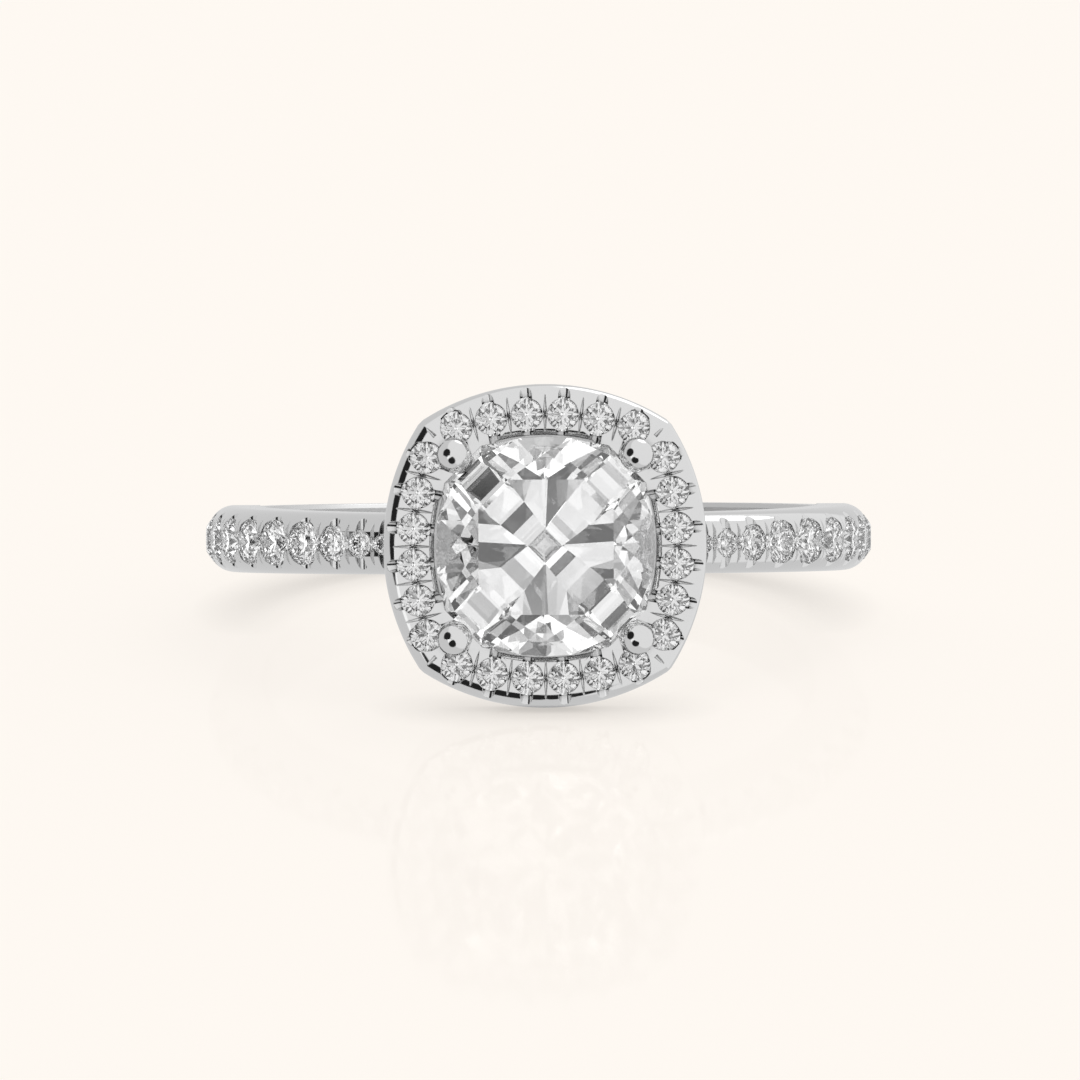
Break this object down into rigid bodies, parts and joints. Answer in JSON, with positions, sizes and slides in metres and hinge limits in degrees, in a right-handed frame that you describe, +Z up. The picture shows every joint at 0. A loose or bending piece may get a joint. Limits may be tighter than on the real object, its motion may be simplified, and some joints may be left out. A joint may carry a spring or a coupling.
{
  "type": "halo ring",
  "caption": "White metal finger ring with a square cushion stone in ball claws, a cushion-shaped halo of small round stones and pave shoulders.",
  "frame": {"origin": "on the table, under the middle of the resting ring's box", "axes": "+Z up from the table, -Y towards the head, +X to the right of someone who faces the head; the finger hole leans 10.31 degrees from +Z"},
  "size_m": [0.021, 0.0236, 0.0094],
  "materials": {
    "white_gold": "mirror polished, rhodium white",
    "centre_diamond": "cut and polished, colourless",
    "small_diamond": "cut and polished, colourless"
  },
  "bodies": {
    "root": {"setting": "white_gold", "centre_stone": "centre_diamond", "halo_stone_01": "small_diamond", "halo_stone_02": "small_diamond", "halo_stone_03": "small_diamond", "halo_stone_04": "small_diamond", "halo_stone_05": "small_diamond", "halo_stone_06": "small_diamond", "halo_stone_07": "small_diamond", "halo_stone_08": "small_diamond", "halo_stone_09": "small_diamond", "halo_stone_10": "small_diamond", "halo_stone_11": "small_diamond", "halo_stone_12": "small_diamond", "halo_stone_13": "small_diamond", "halo_stone_14": "small_diamond", "halo_stone_15": "small_diamond", "halo_stone_16": "small_diamond", "halo_stone_17": "small_diamond", "halo_stone_18": "small_diamond", "halo_stone_19": "small_diamond", "halo_stone_20": "small_diamond", "halo_stone_21": "small_diamond", "halo_stone_22": "small_diamond", "halo_stone_23": "small_diamond", "halo_stone_24": "small_diamond", "left_stone_01": "small_diamond", "left_stone_02": "small_diamond", "left_stone_03": "small_diamond", "left_stone_04": "small_diamond", "left_stone_05": "small_diamond", "left_stone_06": "small_diamond", "left_stone_07": "small_diamond", "left_stone_08": "small_diamond", "left_stone_09": "small_diamond", "right_stone_01": "small_diamond", "right_stone_02": "small_diamond", "right_stone_03": "small_diamond", "right_stone_04": "small_diamond", "right_stone_05": "small_diamond", "right_stone_06": "small_diamond", "right_stone_07": "small_diamond", "right_stone_08": "small_diamond", "right_stone_09": "small_diamond"}
  },
  "joints": []
}
